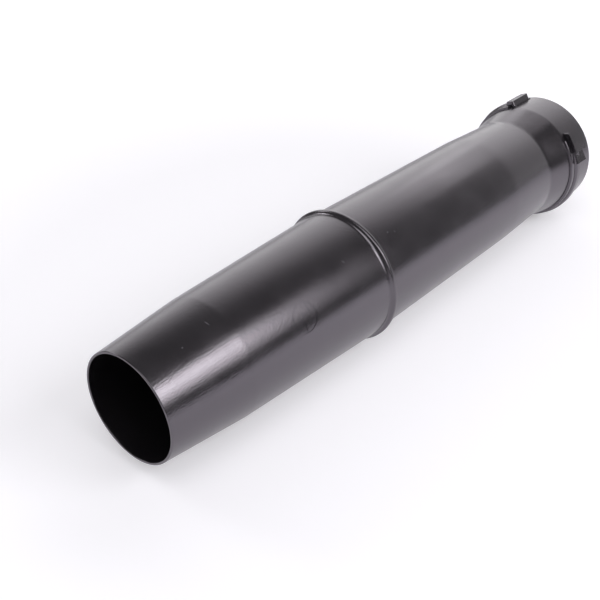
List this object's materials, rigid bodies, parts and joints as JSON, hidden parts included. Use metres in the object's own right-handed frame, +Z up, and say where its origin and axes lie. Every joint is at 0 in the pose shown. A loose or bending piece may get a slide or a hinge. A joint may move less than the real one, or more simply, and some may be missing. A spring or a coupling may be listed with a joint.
{
  "type": "leaf blower nozzle tube",
  "caption": "Long round tapered air nozzle tube in black plastic, with a raised mid ring and a bayonet collar that locks onto the next tube.",
  "frame": {"origin": "centre of the base of the bounding box, on the surface that the tube lies on", "axes": "+X along the tube from the mouth to the collar, +Z up; the gap between the two lugs of the collar faces up and to -Y"},
  "size_m": [0.489, 0.1041, 0.104],
  "materials": {
    "tube_plastic": "black polyolefin with a satin surface and fine turning lines from the mould"
  },
  "bodies": {
    "root": {"nozzle_tube": "tube_plastic"}
  },
  "joints": []
}
